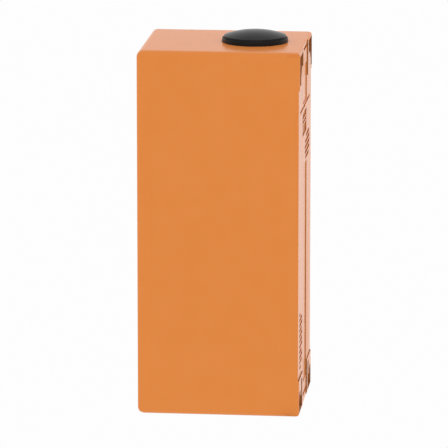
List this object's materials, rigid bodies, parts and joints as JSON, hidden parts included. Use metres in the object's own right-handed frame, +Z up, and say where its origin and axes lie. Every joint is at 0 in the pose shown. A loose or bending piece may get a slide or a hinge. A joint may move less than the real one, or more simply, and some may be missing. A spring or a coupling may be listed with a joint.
{
  "type": "ticket validator",
  "caption": "Wall or pole mounted box that punches a paper ticket in its front slot when the domed button on top is pressed, with a chad bin behind a slide-off hood",
  "frame": {"origin": "centre of the underside of the box", "axes": "+Z up through the button; -Y out of the front with the ticket slot, +Y into the wall; +X to the right of a person who faces the front"},
  "size_m": [0.116, 0.132, 0.3092],
  "materials": {
    "hood_paint": "smooth semi-gloss orange powder coat on cast aluminium",
    "button_plastic": "satin black moulded plastic, polished by use",
    "black_plastic": "satin black moulded plastic",
    "bin_plastic": "matte dark grey moulded plastic",
    "zinc_steel": "zinc plated sheet and bar",
    "screw_steel": "stainless screws with hexagon sockets",
    "dark_screws": "blackened steel security screws",
    "tool_steel": "ground and oiled tool steel",
    "spring_steel": "drawn spring wire and turned steel",
    "bronze": "turned sintered bronze"
  },
  "bodies": {
    "chassis": {"back_plate": "zinc_steel", "bin_shelf": "zinc_steel", "chad_bin": "bin_plastic", "chad_chute": "zinc_steel", "cheek_left": "zinc_steel", "cheek_right": "zinc_steel", "cheek_screw_left": "screw_steel", "cheek_screw_right": "screw_steel", "chute_screw_left": "screw_steel", "chute_screw_right": "screw_steel", "cover_screw_left": "screw_steel", "cover_screw_right": "screw_steel", "die_plate": "tool_steel", "guide_bolt_left": "zinc_steel", "guide_bolt_right": "zinc_steel", "post_lower_left": "zinc_steel", "post_lower_right": "zinc_steel", "post_screw_lower_left": "screw_steel", "post_screw_lower_right": "screw_steel", "post_screw_upper_left": "screw_steel", "post_screw_upper_right": "screw_steel", "post_upper_left": "zinc_steel", "post_upper_right": "zinc_steel", "return_spring_left": "spring_steel", "return_spring_right": "spring_steel", "shelf_screw_left": "screw_steel", "shelf_screw_right": "screw_steel", "stop_screw_left": "screw_steel", "stop_screw_right": "screw_steel", "table_screw_front_left": "screw_steel", "table_screw_front_right": "screw_steel", "table_screw_rear_left": "screw_steel", "table_screw_rear_right": "screw_steel", "ticket_cover": "zinc_steel", "ticket_stop": "tool_steel", "ticket_table": "zinc_steel"},
    "hood": {"hood": "hood_paint", "slot_throat": "black_plastic", "button_bezel": "black_plastic", "bezel_screw_1": "screw_steel", "bezel_screw_2": "screw_steel", "bezel_screw_3": "screw_steel", "stem_bush": "bronze", "hood_screw_lower_left": "dark_screws", "hood_screw_lower_right": "dark_screws", "hood_screw_upper_left": "dark_screws", "hood_screw_upper_right": "dark_screws", "button_spring": "spring_steel"},
    "button": {"button_cap": "button_plastic", "button_stem": "spring_steel", "stem_clip": "spring_steel"},
    "punch": {"punch_block": "tool_steel", "anvil": "tool_steel", "punch_pin_1": "tool_steel", "punch_pin_2": "tool_steel", "punch_pin_3": "tool_steel", "punch_pin_4": "tool_steel", "punch_pin_5": "tool_steel"}
  },
  "joints": [
    {"name": "hood_slide", "type": "slide", "parent": "chassis", "child": "hood", "axis": [0, -1, 0], "range_m": [0, 0.17]},
    {"name": "button_press", "type": "slide", "parent": "hood", "child": "button", "axis": [0, 0, -1], "range_m": [0, 0.005], "stiffness_N_per_m": 600, "springref_m": -0.008, "deforming": ["button_spring"]},
    {"name": "punch_slide", "type": "slide", "parent": "chassis", "child": "punch", "axis": [0, 0, -1], "range_m": [0, 0.005], "stiffness_N_per_m": 800, "springref_m": -0.008, "deforming": ["return_spring_left", "return_spring_right"]}
  ],
  "couplings": [
    {"joint": "button_press", "follows": "punch_slide", "ratio": 1}
  ]
}
